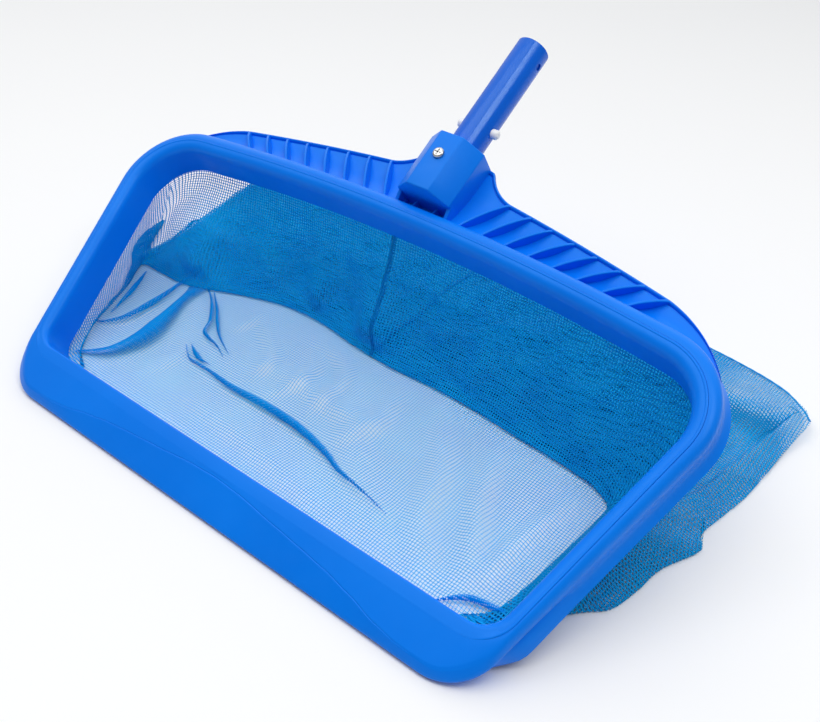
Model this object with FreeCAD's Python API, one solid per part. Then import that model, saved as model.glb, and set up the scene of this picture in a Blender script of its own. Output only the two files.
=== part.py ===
"""Pool leaf skimmer head: rim, gusset with fins, handle stub and a deep mesh bag.

Everything that belongs to the rim is drawn in rim coordinates: u runs along the
blade to the right, v runs in the rim plane from the blade to the handle, and w is
the rim's normal towards the open mouth.  The rim is then pitched up about the
blade so that the underside of the blade lies flat on the ground.
The origin of the part is the centre of its bounding box, on the ground (z = 0).
"""
import FreeCAD, Part
import math
import os

from FreeCAD import Vector

# ---- driving dimensions, mm and degrees ------------------------------------
PITCH = 28.0                  # angle between the rim plane and the ground

MOUTH_HALF_BLADE = 225.0      # half width of the mouth beside the blade
MOUTH_HALF_TOP = 271.0        # half width of the mouth beside the handle
MOUTH_BOTTOM_V = 40.0         # inner edge of the blade
MOUTH_TOP_V = 243.5           # inner edge of the top rail at its corners
MOUTH_BOW = 19.6              # how far the top rail bows towards the handle
MOUTH_R_BLADE = 20.0          # corner radii of the mouth
MOUTH_R_TOP = 41.0

CREST = 10.0                  # from the mouth to the crest of the rim bead
RIM_WIDTH = 18.8              # from the mouth to the outer wall
CREST_GAP = 0.15              # joint line between the two rim mouldings
BEAD_ROUND = 7.5              # rounding of the bead on both sides of the crest
INNER_DEPTH = 31.0            # depth of the inner wall, from crest to net
SKIRT_DEPTH = 20.5            # depth of the outer wall
WALL = 4.0                    # moulded wall thickness
ROOF = 6.0                    # thickness of the bead above the hem channel

BLADE_TIP_V = -2.0            # outer edge of the blade
BLADE_TIP_HALF = 230.5        # half width of the blade at its outer edge
BLADE_TIP_R = 45.0            # radius of the blade's corners
BLADE_TIP_W = -5.6            # front face of the blade at its outer edge
BLADE_SKIN = 4.0              # thickness of the blade along the slope
BLADE_RIM = 5.0               # thickness of the wall round the blade's edge
BLADE_POCKET_V = 60.0         # how far the hollow behind the blade runs up the sides
OUTER_R_TOP = 59.0            # outer radius of the rim's top corners

PLATE_W = -19.0               # front face of the gusset plate
PLATE_THICK = 3.0
PLATE_LIP_WIDE = 2.4          # raised lip along the plate's edge
PLATE_LIP_HIGH = 1.4
PLATE_NECK = (30.0, 340.0)    # plate outline on the right, (u, v): beside the socket
PLATE_COVE = (41.0, 327.5)    # middle of the cove below the socket
PLATE_HIP = (57.0, 319.5)     # end of the cove
PLATE_MID = (132.0, 308.5)    # middle of the long edge
PLATE_TIP = (206.0, 295.0)    # end of the long edge
PLATE_TURN = (250.0, 270.0)   # middle of the shoulder
PLATE_ROOT = (276.0, 232.0)   # where the shoulder meets the rim

FIN_COUNT = 8                 # on each side of the socket
FIN_START_U = 35.8            # root of the first fin
FIN_PITCH_U = 21.0
FIN_FAN_U = 23.0              # how far each fin leans away from the socket
FIN_ROOT_W = -8.0             # height of a fin where it meets the rim
FIN_MID_W = -9.8              # height at the middle of its convex top edge
FIN_TIP_HIGH = 2.2            # height of its end above the plate
FIN_TIP_INSET = 1.2           # from its end to the plate's edge
FIN_THICK = 2.2
FIN_SINK = 1.5                # how far a fin runs into the rim wall

CHEEK_THICK = 3.0             # walls from the socket's sides to the rim
CHEEK_HIGH_W = -1.5           # their top edge, at the socket and at the rim
CHEEK_LOW_W = -8.0
NECK_RIB_U = 9.0              # small ribs in the recess between the cheeks
NECK_RIB_THICK = 1.8
NECK_RIB_W = -11.0

STUB_R = 14.2                 # outside radius of the handle stub
STUB_SPIGOT_R = 13.7          # stepped-down end inside the socket
STUB_WALL = 2.2
STUB_START_V = 297.0
STUB_END_V = 449.5
STUB_W = -11.0                # axis height at the socket
STUB_RISE = 2.5               # rise of the stub out of the rim plane
STUB_SHOULDER_V = 341.3       # where the step sits against the socket
SOCKET_FRONT_V = 289.5
SOCKET_BACK_V = 341.0
SOCKET_FLAT = 25.5            # centre to flat of the octagonal socket
SOCKET_CHAMFER = 1.2
SOCKET_PLAY = 0.05            # between the socket and the moulding round it
STUB_PLAY = 0.02              # between the stub and the socket's bore

BUTTON_V = 366.0              # snap buttons, along the stub
BUTTON_R = 4.0
BUTTON_OUT = 19.6             # tip of a button, from the stub axis
BUTTON_FLANGE_R = 5.0
BUTTON_FLANGE_U = 9.3
BUTTON_FLANGE_THICK = 1.1
BUTTON_CLEAR = 0.25
BUTTON_ROUND = 2.8
SPRING_THICK = 0.9
SPRING_WIDTH = 8.0
SPRING_TAIL_V = 322.0         # bend of the V spring
SPRING_BEND_HALF = 1.5        # half width of the spring at its bend
SPRING_GAP = 0.3              # between a spring leg and its button
DRAIN_V = 435.0               # cross hole near the end of the stub
DRAIN_R = 3.2

SCREW_V = 321.0
SCREW_R = 2.0
SCREW_HEAD_R = 4.6
SCREW_HEAD_HIGH = 2.6
SCREW_HEAD_ROUND = 1.56
SCREW_SLOT = 1.1
SCREW_SLOT_DEEP = 1.5
SCREW_SLOT_HALF = 2.76
SCREW_BITE = 1.0              # how far the screw reaches into the stub
SCREW_PLAY = 0.05

HEM_SIDE = 1.0                # play between the hem bead and the channel walls
HEM_HIGH = 7.0
HEM_DROP = 0.5                # play above the bead

NET_THICK = 1.2               # modelled thickness of one layer of net
NET_GAP = 0.5                 # between two layers that lie on each other
FOOT_Y = 202.0                # where the hanging upper net reaches the ground
FOOT_X = 216.0                # where the hanging side net reaches the ground
BAG_BACK_Y = 408.0            # rear seam of the bag
BAG_HALF = 308.0              # half width of the bag at the rear seam
BAG_HALF_FRONT = 250.0        # half width of the bag at the front end of the side nets
BAG_FRONT_Y = 52.0            # where the bottom net leaves the blade
SIDE_FRONT_Y = 78.0           # front end of the side nets
SIDE_GAP = 1.5                # between the upper net and a side net at the ground
SIDE_RAIL_FRONT_V = 90.0      # where a side net starts and ends along the side rail
SIDE_RAIL_BACK_V = 235.5
SEAM_WIDE = 5.0
SEAM_X = -20.0                # the hanging seam is left of the middle
SEAM_HIGH = 1.6
SEAM_LAP = 0.5                # how far the rear seam stands past the upper nets
SEAM_GAP = 1.0                # between the centre seam and the fold at the ground

FAR = 1000.0                  # larger than the part
PAST = 1.0                    # how far a cutter runs past the face it opens
MARGIN = 10.0                 # how far the blade's cutter runs past its edges
LAP = 0.5                     # how far walls of one moulding run into each other
NEAR = 0.01                   # two points closer than this are one
LEAD_IN_STEPS = 6             # steps that make up the round lead-in of the mouth

PITCH_RAD = math.radians(PITCH)
UNDERSIDE_W = -INNER_DEPTH    # the inner wall's foot beside the blade is on the ground
GROUND_Z = MOUTH_BOTTOM_V * math.sin(PITCH_RAD) + UNDERSIDE_W * math.cos(PITCH_RAD)
SIDE_SLOPE = (MOUTH_HALF_TOP - MOUTH_HALF_BLADE) / (MOUTH_TOP_V - MOUTH_BOTTOM_V)


# ---- helpers -----------------------------------------------------------------
def line(a, b):
    return Part.LineSegment(a, b).toShape()


def arc(a, b, c):
    return Part.Arc(a, b, c).toShape()


def box(low, high):
    size = [h - l for l, h in zip(low, high)]
    return Part.makeBox(size[0], size[1], size[2], Vector(*low))


def mirrored(shape):
    """The same shape on the other side of the centre plane."""
    return shape.mirror(Vector(0, 0, 0), Vector(1, 0, 0))


def round_upright_edges(solid, radii):
    """Round the four edges that run along w; radii are for the top and the blade."""
    middle_v = (MOUTH_BOTTOM_V + MOUTH_TOP_V) / 2
    for upper, radius in zip((True, False), radii):
        edges = []
        for edge in solid.Edges:
            a, b = edge.Vertexes[0].Point, edge.Vertexes[-1].Point
            upright = abs(a.x - b.x) < NEAR and abs(a.y - b.y) < NEAR
            if upright and (a.y > middle_v) == upper:
                edges.append(edge)
        solid = solid.makeFillet(radius, edges)
    return solid


def rim_prism(half_low, half_high, low_v, high_v, radii, w_low, w_high):
    """Solid trapezoid with a bowed top edge and round corners."""
    p = [Vector(-half_low, low_v, w_low), Vector(half_low, low_v, w_low),
         Vector(half_high, high_v, w_low), Vector(-half_high, high_v, w_low)]
    crown = Vector(0, high_v + MOUTH_BOW, w_low)
    edges = [line(p[0], p[1]), line(p[1], p[2]), arc(p[2], crown, p[3]), line(p[3], p[0])]
    prism = Part.Face(Part.Wire(edges)).extrude(Vector(0, 0, w_high - w_low))
    return round_upright_edges(prism, radii)


def mouth_offset(offset, w_low, w_high):
    """Prism of the mouth's outline, grown outwards by offset."""
    half_low = MOUTH_HALF_BLADE + offset * (1 - SIDE_SLOPE)
    half_high = MOUTH_HALF_TOP + offset * (1 + SIDE_SLOPE)
    radii = (MOUTH_R_TOP + offset, MOUTH_R_BLADE + offset)
    return rim_prism(half_low, half_high, MOUTH_BOTTOM_V - offset, MOUTH_TOP_V + offset,
                     radii, w_low, w_high)


def blade_outline(inset, w_low, w_high):
    """Prism of the rim's whole outer outline with the blade, less an inset."""
    half_high = MOUTH_HALF_TOP + RIM_WIDTH * (1 + SIDE_SLOPE) - inset
    radii = (OUTER_R_TOP - inset, BLADE_TIP_R - inset)
    return rim_prism(BLADE_TIP_HALF - inset, half_high, BLADE_TIP_V + inset,
                     MOUTH_TOP_V + RIM_WIDTH - inset, radii, w_low, w_high)


def round_front(solid, radius, w):
    """Round every edge of a prism's face at height w."""
    edges = [e for e in solid.Edges
             if all(abs(v.Point.z - w) < NEAR for v in e.Vertexes)]
    return solid.makeFillet(radius, edges)


def top_rail_v(u):
    """Outer wall of the top rail at a distance u from the centre."""
    half = MOUTH_HALF_TOP + RIM_WIDTH
    return MOUTH_TOP_V + RIM_WIDTH + MOUTH_BOW * (1 - (u / half) ** 2)


def plate_edge_v(u):
    """Long outer edge of the gusset plate."""
    share = (u - PLATE_HIP[0]) / (PLATE_TIP[0] - PLATE_HIP[0])
    return PLATE_HIP[1] + share * (PLATE_TIP[1] - PLATE_HIP[1])


def on_stub(shape):
    """Place a shape drawn along +Y at the stub: tilt it and lift it to its axis."""
    pivot = Vector(0, SOCKET_FRONT_V, 0)
    shape = shape.copy()
    shape.rotate(pivot, Vector(1, 0, 0), STUB_RISE)
    shape.translate(Vector(0, 0, STUB_W))
    return shape


# ---- rim mouldings ---------------------------------------------------------------
def blade_front_cut():
    """Everything in front of the blade's sloping face."""
    crest_v = MOUTH_BOTTOM_V - CREST
    slope = (0 - BLADE_TIP_W) / (crest_v - BLADE_TIP_V)
    low_v = BLADE_TIP_V - MARGIN
    pts = [Vector(-FAR, low_v, BLADE_TIP_W - MARGIN * slope), Vector(-FAR, crest_v, 0),
           Vector(-FAR, crest_v, MARGIN), Vector(-FAR, low_v, MARGIN)]
    face = Part.Face(Part.makePolygon(pts + pts[:1]))
    return face.extrude(Vector(2 * FAR, 0, 0))


def below(distance):
    """Everything below a plane at a distance above the ground, in rim coordinates."""
    foot = Vector(0, MOUTH_BOTTOM_V, UNDERSIDE_W)
    up = Vector(0, math.sin(PITCH_RAD), math.cos(PITCH_RAD))
    block = Part.makeBox(2 * FAR, 2 * FAR, FAR, Vector(-FAR, -FAR, -FAR))
    block.rotate(Vector(0, 0, 0), Vector(1, 0, 0), -PITCH)
    block.translate(foot + up * distance)
    return block


def hem_channel():
    """Groove on the underside between the inner wall and the outer wall."""
    outer = mouth_offset(RIM_WIDTH - WALL, -FAR, -ROOF)
    return outer.cut(mouth_offset(WALL, -FAR, -ROOF))


def make_inner_ring():
    """Inner half of the bead with the deep inner wall that the net hangs from."""
    ring = mouth_offset(CREST - CREST_GAP, -INNER_DEPTH, 0)
    ring = ring.cut(rounded_mouth())
    ring = ring.cut(hem_channel())
    return ring.cut(below(0))


def rounded_mouth():
    """Cutter for the mouth that leaves a round lead-in at the front of the bead."""
    cutter = mouth_offset(0, -INNER_DEPTH - PAST, PAST)
    for k in range(LEAD_IN_STEPS):
        angle = (k + 0.5) / LEAD_IN_STEPS * math.pi / 2
        grow = BEAD_ROUND * (1 - math.cos(angle))
        depth = BEAD_ROUND * (1 - math.sin(angle))
        cutter = cutter.fuse(mouth_offset(grow, -depth, PAST))
    return cutter


def make_fin(index):
    """One thin fin on the right: high at the rim, curving down to the plate's edge."""
    root_u = FIN_START_U + index * FIN_PITCH_U
    tip_u = root_u + FIN_FAN_U
    root = Vector(root_u, top_rail_v(root_u), 0)
    tip = Vector(tip_u, plate_edge_v(tip_u) - FIN_TIP_INSET, 0)
    run = tip - root
    length = run.Length + FIN_SINK
    foot_w = PLATE_W - LAP
    start = Vector(0, 0, FIN_ROOT_W)
    end = Vector(length, 0, PLATE_W + FIN_TIP_HIGH)
    edges = [line(Vector(0, 0, foot_w), start),
             arc(start, Vector(length / 2, 0, FIN_MID_W), end),
             line(end, Vector(length, 0, foot_w)),
             line(Vector(length, 0, foot_w), Vector(0, 0, foot_w))]
    fin = Part.Face(Part.Wire(edges)).extrude(Vector(0, FIN_THICK, 0))
    fin.translate(Vector(-FIN_SINK, -FIN_THICK / 2, 0))
    fin.rotate(Vector(0, 0, 0), Vector(0, 0, 1), math.degrees(math.atan2(run.y, run.x)))
    fin.translate(root)
    return fin


def make_plate():
    """Gusset plate between the top rail and the socket."""
    right = [Vector(u, v, PLATE_W - PLATE_THICK) for u, v in
             (PLATE_NECK, PLATE_COVE, PLATE_HIP, PLATE_MID, PLATE_TIP, PLATE_TURN, PLATE_ROOT)]
    left = [Vector(-p.x, p.y, p.z) for p in right]
    edges = [line(left[0], right[0]),
             arc(right[0], right[1], right[2]),
             arc(right[2], right[3], right[4]),
             arc(right[4], right[5], right[6]),
             line(right[6], left[6]),
             arc(left[6], left[5], left[4]),
             arc(left[4], left[3], left[2]),
             arc(left[2], left[1], left[0])]
    outline = Part.Face(Part.Wire(edges))
    plate = outline.extrude(Vector(0, 0, PLATE_THICK))
    inside = outline.makeOffset2D(-PLATE_LIP_WIDE)
    lip_height = Vector(0, 0, PLATE_THICK + PLATE_LIP_HIGH)
    lip = outline.extrude(lip_height).cut(inside.extrude(lip_height))
    return plate.fuse(lip).cut(mouth_offset(RIM_WIDTH - WALL / 2, -FAR, FAR))


def make_neck():
    """Two cheeks and two small ribs that tie the socket to the top rail."""
    rail_v = top_rail_v(0) - FIN_SINK
    foot_w = PLATE_W - LAP
    end_v = SOCKET_FRONT_V + PAST
    sides = [Vector(0, rail_v, foot_w), Vector(0, end_v, foot_w),
             Vector(0, end_v, CHEEK_HIGH_W), Vector(0, rail_v, CHEEK_LOW_W)]
    cheek = Part.Face(Part.makePolygon(sides + sides[:1])).extrude(Vector(-CHEEK_THICK, 0, 0))
    cheek.translate(Vector(SOCKET_FLAT, 0, 0))
    rib = box((NECK_RIB_U, rail_v, foot_w),
              (NECK_RIB_U + NECK_RIB_THICK, end_v, NECK_RIB_W))
    return [cheek, mirrored(cheek), rib, mirrored(rib)]


def socket_envelope(grow):
    """Octagonal prism of the socket, grown outwards."""
    flat = SOCKET_FLAT + grow
    corner = flat / math.cos(math.pi / 8)
    ring = []
    for k in range(8):
        angle = math.pi / 8 + k * math.pi / 4
        ring.append(Vector(corner * math.cos(angle), SOCKET_FRONT_V, corner * math.sin(angle)))
    face = Part.Face(Part.makePolygon(ring + ring[:1]))
    return face.extrude(Vector(0, SOCKET_BACK_V - SOCKET_FRONT_V, 0))


def make_outer_frame():
    """Outer half of the bead, outer wall, blade, gusset plate and fins in one moulding."""
    frame = round_front(blade_outline(0, -INNER_DEPTH, 0), BEAD_ROUND, 0)
    frame = frame.cut(blade_front_cut())
    frame = frame.cut(mouth_offset(CREST + CREST_GAP, -FAR, FAR))
    frame = frame.cut(hem_channel())
    skirt_floor = box((-FAR, MOUTH_BOTTOM_V, -FAR), (FAR, FAR, -SKIRT_DEPTH))
    frame = frame.cut(skirt_floor)
    frame = frame.cut(blade_pocket())
    frame = frame.cut(below(0))
    extras = [make_plate()] + make_neck()
    for index in range(FIN_COUNT):
        fin = make_fin(index)
        extras += [fin, mirrored(fin)]
    frame = frame.fuse(extras)
    return frame.cut(on_stub(socket_envelope(SOCKET_PLAY))).removeSplitter()


def blade_pocket():
    """Hollow behind the blade's skin."""
    pocket = blade_outline(BLADE_RIM, -FAR, FAR)
    pocket = pocket.cut(mouth_offset(RIM_WIDTH, -FAR, FAR))
    front = blade_front_cut()
    front.translate(Vector(0, 0, -BLADE_SKIN))
    front = front.fuse(box((-FAR, -FAR, -BLADE_SKIN), (FAR, FAR, FAR)))
    behind = box((-FAR, BLADE_POCKET_V, -FAR), (FAR, FAR, FAR))
    return pocket.cut(front).cut(behind)


# ---- socket, stub and catch -------------------------------------------------------
def stub_cylinder(radius, start_v, end_v):
    return Part.makeCylinder(radius, end_v - start_v, Vector(0, start_v, 0), Vector(0, 1, 0))


def screw_hole(radius):
    return Part.makeCylinder(radius, 2 * SOCKET_FLAT, Vector(0, SCREW_V, 0), Vector(0, 0, 1))


def make_socket():
    socket = socket_envelope(0)
    ends = [e for e in socket.Edges
            if abs(e.Vertexes[0].Point.y - e.Vertexes[-1].Point.y) < NEAR]
    socket = socket.makeChamfer(SOCKET_CHAMFER, ends)
    socket = socket.cut(stub_cylinder(STUB_SPIGOT_R + STUB_PLAY, STUB_START_V, FAR))
    socket = socket.cut(screw_hole(SCREW_R + SCREW_PLAY))
    return on_stub(socket)


def make_stub():
    stub = stub_cylinder(STUB_R, STUB_SHOULDER_V, STUB_END_V)
    stub = stub.fuse(stub_cylinder(STUB_SPIGOT_R, STUB_START_V, STUB_SHOULDER_V))
    stub = stub.cut(stub_cylinder(STUB_R - STUB_WALL, STUB_START_V - PAST, STUB_END_V + PAST))
    across = Vector(1, 0, 0)
    start = -2 * STUB_R
    stub = stub.cut(Part.makeCylinder(BUTTON_R + BUTTON_CLEAR, 4 * STUB_R,
                                      Vector(start, BUTTON_V, 0), across))
    stub = stub.cut(Part.makeCylinder(DRAIN_R, 4 * STUB_R, Vector(start, DRAIN_V, 0), across))
    stub = stub.cut(screw_hole(SCREW_R + SCREW_PLAY))
    return on_stub(stub)


def make_button_right():
    across = Vector(1, 0, 0)
    shank = Part.makeCylinder(BUTTON_R, BUTTON_OUT - BUTTON_FLANGE_U,
                              Vector(BUTTON_FLANGE_U, BUTTON_V, 0), across)
    tip = [e for e in shank.Edges if abs(e.CenterOfMass.x - BUTTON_OUT) < NEAR]
    shank = shank.makeFillet(BUTTON_ROUND, tip)
    flange = Part.makeCylinder(BUTTON_FLANGE_R, BUTTON_FLANGE_THICK,
                               Vector(BUTTON_FLANGE_U, BUTTON_V, 0), across)
    return shank.fuse(flange).removeSplitter()


def make_spring():
    """V-shaped leaf spring inside the stub that pushes both buttons out."""
    out_u = BUTTON_FLANGE_U - SPRING_GAP
    leg_end = BUTTON_V + BUTTON_R
    leg_start = BUTTON_V - BUTTON_R
    in_u = out_u - SPRING_THICK
    bend = SPRING_BEND_HALF
    inner_bend = bend - SPRING_THICK / 2
    right = [(bend, SPRING_TAIL_V), (out_u, leg_start), (out_u, leg_end),
             (in_u, leg_end), (in_u, leg_start), (inner_bend, SPRING_TAIL_V + 2 * SPRING_THICK)]
    outline = right + [(-u, v) for u, v in reversed(right)]
    pts = [Vector(u, v, 0) for u, v in outline]
    face = Part.Face(Part.makePolygon(pts + pts[:1]))
    spring = face.extrude(Vector(0, 0, SPRING_WIDTH))
    spring.translate(Vector(0, 0, -SPRING_WIDTH / 2))
    return on_stub(spring)


def make_screw():
    seat = SOCKET_FLAT
    shank_end = STUB_R - STUB_WALL - SCREW_BITE
    shank = Part.makeCylinder(SCREW_R, seat - shank_end, Vector(0, SCREW_V, shank_end))
    head = Part.makeCylinder(SCREW_HEAD_R, SCREW_HEAD_HIGH, Vector(0, SCREW_V, seat))
    top = seat + SCREW_HEAD_HIGH
    rim = [e for e in head.Edges if abs(e.CenterOfMass.z - top) < NEAR]
    head = head.makeFillet(SCREW_HEAD_ROUND, rim)
    wide, narrow = SCREW_SLOT_HALF, SCREW_SLOT / 2
    for along, over in ((wide, narrow), (narrow, wide)):
        head = head.cut(box((-along, SCREW_V - over, top - SCREW_SLOT_DEEP),
                            (along, SCREW_V + over, top + PAST)))
    return on_stub(head.fuse(shank).removeSplitter())


# ---- net bag -------------------------------------------------------------------------
def make_hem_bead():
    """Bead sewn into the net's edge, pressed into the groove all round the rim."""
    high = -ROOF - HEM_DROP
    low = high - HEM_HIGH
    bead = mouth_offset(RIM_WIDTH - WALL - HEM_SIDE, low, high)
    return bead.cut(mouth_offset(WALL + HEM_SIDE, low - PAST, high + PAST))


def rim_to_ground(u, v, w):
    """A rim point in ground coordinates, before centring."""
    c, s = math.cos(PITCH_RAD), math.sin(PITCH_RAD)
    return Vector(u, v * c - w * s, v * s + w * c - GROUND_Z)


def make_bottom_net():
    flat = [Vector(-BAG_HALF_FRONT, SIDE_FRONT_Y, 0), Vector(-MOUTH_HALF_BLADE, BAG_FRONT_Y, 0),
            Vector(MOUTH_HALF_BLADE, BAG_FRONT_Y, 0), Vector(BAG_HALF_FRONT, SIDE_FRONT_Y, 0),
            Vector(BAG_HALF, BAG_BACK_Y, 0), Vector(-BAG_HALF, BAG_BACK_Y, 0)]
    return Part.Face(Part.makePolygon(flat + flat[:1])).extrude(Vector(0, 0, NET_THICK))


def make_upper_net(side):
    """One half of the upper net: hangs from the top rail, then lies back over itself."""
    rail = rim_to_ground(0, MOUTH_TOP_V + MOUTH_BOW / 2, -INNER_DEPTH)
    low = NET_THICK + NET_GAP
    wall_z = rail.z - NET_GAP
    profile = [(rail.y, wall_z), (FOOT_Y, low), (BAG_BACK_Y - SEAM_WIDE, low),
               (BAG_BACK_Y - SEAM_WIDE, low + NET_THICK),
               (FOOT_Y + 2 * NET_THICK, low + NET_THICK), (rail.y + NET_THICK, wall_z)]
    start = SEAM_X + side * SEAM_WIDE / 4
    pts = [Vector(start, y, z) for y, z in profile]
    face = Part.Face(Part.makePolygon(pts + pts[:1]))
    return face.extrude(Vector(side * FOOT_X - start, 0, 0))


def make_side_net_right():
    """Right side net: hangs from the side rail, then lies outwards over the bottom net."""
    front_rail = rim_to_ground(MOUTH_HALF_BLADE + WALL, SIDE_RAIL_FRONT_V, -INNER_DEPTH)
    back_rail = rim_to_ground(MOUTH_HALF_TOP + WALL, SIDE_RAIL_BACK_V, -INNER_DEPTH)
    outlines = []
    for rail, edge_x in ((front_rail, BAG_HALF_FRONT), (back_rail, BAG_HALF - SEAM_WIDE)):
        foot_x = FOOT_X + SIDE_GAP
        low = NET_THICK + NET_GAP
        high = low + NET_THICK
        top = rail.z - NET_GAP
        profile = [(rail.x, top), (foot_x, low), (edge_x, low), (edge_x, high),
                   (foot_x + 2 * NET_THICK, high), (rail.x + NET_THICK, top)]
        pts = [Vector(x, rail.y, z) for x, z in profile]
        outlines.append(Part.makePolygon(pts + pts[:1]))
    return Part.makeLoft(outlines, True, True)


def make_centre_seam():
    """Binding over the seam between the two upper nets."""
    rail = rim_to_ground(0, MOUTH_TOP_V + MOUTH_BOW / 2, -INNER_DEPTH)
    low = NET_THICK + NET_GAP
    rail_y = rail.y - NET_GAP
    foot_y = FOOT_Y - SEAM_GAP
    top = rail.z - NET_GAP
    profile = [(rail_y, top), (foot_y, low), (foot_y - SEAM_HIGH, low), (rail_y - SEAM_HIGH, top)]
    pts = [Vector(SEAM_X - SEAM_WIDE / 2, y, z) for y, z in profile]
    face = Part.Face(Part.makePolygon(pts + pts[:1]))
    return face.extrude(Vector(SEAM_WIDE, 0, 0))


def make_rear_seam():
    """Bound seam that closes the back of the bag."""
    low = NET_THICK + NET_GAP
    return box((-BAG_HALF + SEAM_WIDE, BAG_BACK_Y - SEAM_WIDE + SEAM_LAP, low),
               (BAG_HALF - SEAM_WIDE, BAG_BACK_Y, low + SEAM_HIGH))


# ---- assembly ------------------------------------------------------------------------
def to_ground(shape):
    """Pitch a shape from rim coordinates and set the blade on the ground."""
    shape = shape.copy()
    shape.rotate(Vector(0, 0, 0), Vector(1, 0, 0), PITCH)
    shape.translate(Vector(0, 0, -GROUND_Z))
    return shape


def build():
    button = make_button_right()
    side = make_side_net_right()
    nodes = {
        "outer_frame": to_ground(make_outer_frame()),
        "inner_ring": to_ground(make_inner_ring()),
        "handle_socket": to_ground(make_socket()),
        "handle_stub": to_ground(make_stub()),
        "button_spring": to_ground(make_spring()),
        "button_right": to_ground(on_stub(button)),
        "button_left": to_ground(on_stub(mirrored(button))),
        "socket_screw": to_ground(make_screw()),
        "hem_bead": to_ground(make_hem_bead()),
        "bottom_net": make_bottom_net(),
        "upper_net_right": make_upper_net(1),
        "upper_net_left": make_upper_net(-1),
        "side_net_right": side,
        "side_net_left": mirrored(side),
        "centre_seam": make_centre_seam(),
        "rear_seam": make_rear_seam(),
    }
    return nodes


def main():
    os.makedirs("parts", exist_ok=True)
    nodes = build()
    whole = Part.makeCompound(list(nodes.values())).optimalBoundingBox()
    centring = Vector(0, -(whole.YMin + whole.YMax) / 2, -whole.ZMin)
    for name, shape in nodes.items():
        shape.translate(centring)
        shape.exportStep("parts/" + name + ".step")
        b = shape.optimalBoundingBox()
        print(name, shape.isValid(), len(shape.Solids), round(shape.Volume), b)
    print("centring", centring, "size", whole)


main()
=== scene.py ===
import math

import bmesh
import bpy
import numpy as np
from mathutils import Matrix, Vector, noise


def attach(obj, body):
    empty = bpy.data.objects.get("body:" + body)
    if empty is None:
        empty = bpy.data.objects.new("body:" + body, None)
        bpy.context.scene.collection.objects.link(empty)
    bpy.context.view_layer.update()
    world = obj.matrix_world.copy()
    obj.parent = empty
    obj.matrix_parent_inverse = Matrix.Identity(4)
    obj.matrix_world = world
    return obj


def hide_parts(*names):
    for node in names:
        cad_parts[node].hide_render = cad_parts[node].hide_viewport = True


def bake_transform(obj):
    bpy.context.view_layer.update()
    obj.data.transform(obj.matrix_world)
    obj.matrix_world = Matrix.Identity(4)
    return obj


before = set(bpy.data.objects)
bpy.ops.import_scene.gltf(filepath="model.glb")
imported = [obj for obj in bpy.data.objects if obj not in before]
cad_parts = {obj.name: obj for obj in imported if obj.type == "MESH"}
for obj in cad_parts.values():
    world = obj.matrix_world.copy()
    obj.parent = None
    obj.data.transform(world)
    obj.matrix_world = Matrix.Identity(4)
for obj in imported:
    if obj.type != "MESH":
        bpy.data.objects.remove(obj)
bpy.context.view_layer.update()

# ---- the camera, first
scene = bpy.context.scene
CAMERA_AT = Vector((0.4064, -0.4652, 0.5140))
CAMERA_LOOK = Vector((-0.48937, 0.60307, -0.62995))
camera_data = bpy.data.cameras.new("camera")
camera_data.sensor_width = 36.0
camera_data.lens = 42.41
camera_data.clip_end = 60.0
camera = bpy.data.objects.new("camera", camera_data)
camera.location = CAMERA_AT
camera.rotation_euler = CAMERA_LOOK.to_track_quat("-Z", "Y").to_euler()
scene.collection.objects.link(camera)
scene.camera = camera
scene.view_settings.view_transform = "Standard"

# ---- dimensions, mm, in rim coordinates (u along the blade, v up the rim, w out of it)
MM = 0.001
PITCH = math.radians(28.0)
CP, SP = math.cos(PITCH), math.sin(PITCH)
SHIFT_Y, SHIFT_Z = -204.534, 8.593

MOUTH_LOW, MOUTH_HIGH = 225.0, 271.0
MOUTH_V0, MOUTH_V1 = 40.0, 243.5
BOW = 19.6
SLOPE = (MOUTH_HIGH - MOUTH_LOW) / (MOUTH_V1 - MOUTH_V0)
CREST = 10.0                  # from the mouth out to the fine line where the mouldings meet
INNER_DEPTH = 31.0
BLADE_TIP = -5.6              # height w of the blade's outer edge
OUTER = dict(half_low=230.5, half_high=294.05, low=-2.0, high=262.3, bow=BOW, r_low=40.0, r_high=59.0)
PLATE_W = -19.0
SOCKET_FRONT, SOCKET_BACK = 289.5, 341.0
SOCKET_FLAT = 25.5
STUB_W, STUB_RISE = -11.0, math.radians(2.5)


def rim(u, v, w):
    """A point in rim coordinates, mm, in the part's frame, m."""
    return Vector((u, v * CP - w * SP + SHIFT_Y, v * SP + w * CP + SHIFT_Z)) * MM


def ground_w(v):
    """Height w of the ground below a rim point."""
    return -INNER_DEPTH - (v - MOUTH_V0) * SP / CP


def on_stub(x, v, z):
    """A point drawn along the stub's axis, moved to where the stub is."""
    run = v - SOCKET_FRONT
    c, s = math.cos(STUB_RISE), math.sin(STUB_RISE)
    return rim(x, SOCKET_FRONT + run * c - z * s, run * s + z * c + STUB_W)


# ---- small tools
def lerp(a, b, t):
    return a + (b - a) * t


def smooth(a, b, x):
    t = min(1.0, max(0.0, (x - a) / (b - a)))
    return t * t * (3 - 2 * t)


def run_along(line):
    """Distance from the start at each point of a line."""
    return np.concatenate([[0], np.cumsum(np.linalg.norm(np.diff(line, axis=0), axis=1))])


def spaced(points, count):
    """Points (x, y) spaced evenly along a line."""
    pts = np.array([tuple(p) for p in points])
    run = run_along(pts)
    return [tuple(np.interp(run[-1] * k / (count - 1), run, pts[:, a]) for a in (0, 1))
            for k in range(count)]


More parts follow.
